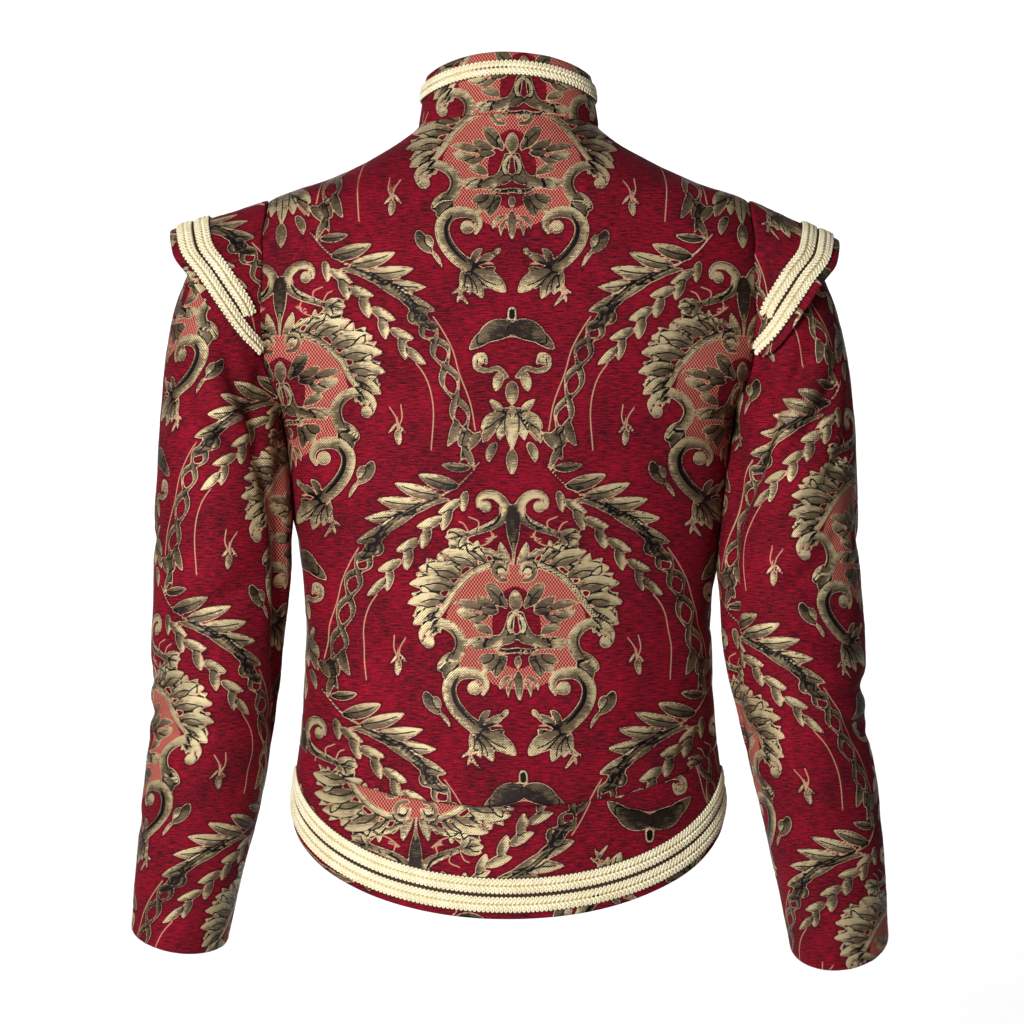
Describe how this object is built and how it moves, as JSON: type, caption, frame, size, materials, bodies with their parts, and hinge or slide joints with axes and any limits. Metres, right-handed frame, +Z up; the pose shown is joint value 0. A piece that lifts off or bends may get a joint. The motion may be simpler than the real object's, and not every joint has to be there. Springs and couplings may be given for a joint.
{
  "type": "doublet",
  "caption": "Short fitted doublet with a standing collar, shoulder wings, long plain sleeves, a dipped basque and braid-trimmed edges, hollow as when it is worn.",
  "frame": {"origin": "midway between the two points where the neck seam meets the shoulder seams, where the shoulders and neck of the wearer hold the garment up", "axes": "+Z up along the body, +X to the wearer's left, and the wearer faces -Y, so the back that shows is on +Y"},
  "size_m": [0.6544, 0.251, 0.7767],
  "materials": {
    "damask": "crimson chenille damask with a raised ribbed pile, taupe and pale gold baroque leaves, and a coral basket weave inside the cartouches",
    "gimp_braid": "cream-gold gimp braid with two rows of looped scallops and a soft yarn sheen"
  },
  "bodies": {
    "root": {"back": "damask", "front_left": "damask", "front_right": "damask", "basque_back": "damask", "basque_front_left": "damask", "basque_front_right": "damask", "collar": "damask", "sleeve_left": "damask", "sleeve_right": "damask", "wing_left": "damask", "wing_right": "damask", "hem_braid_lower": "gimp_braid", "hem_braid_upper": "gimp_braid", "collar_braid": "gimp_braid", "wing_braid_outer_left": "gimp_braid", "wing_braid_inner_left": "gimp_braid", "wing_braid_outer_right": "gimp_braid", "wing_braid_inner_right": "gimp_braid"}
  },
  "joints": []
}
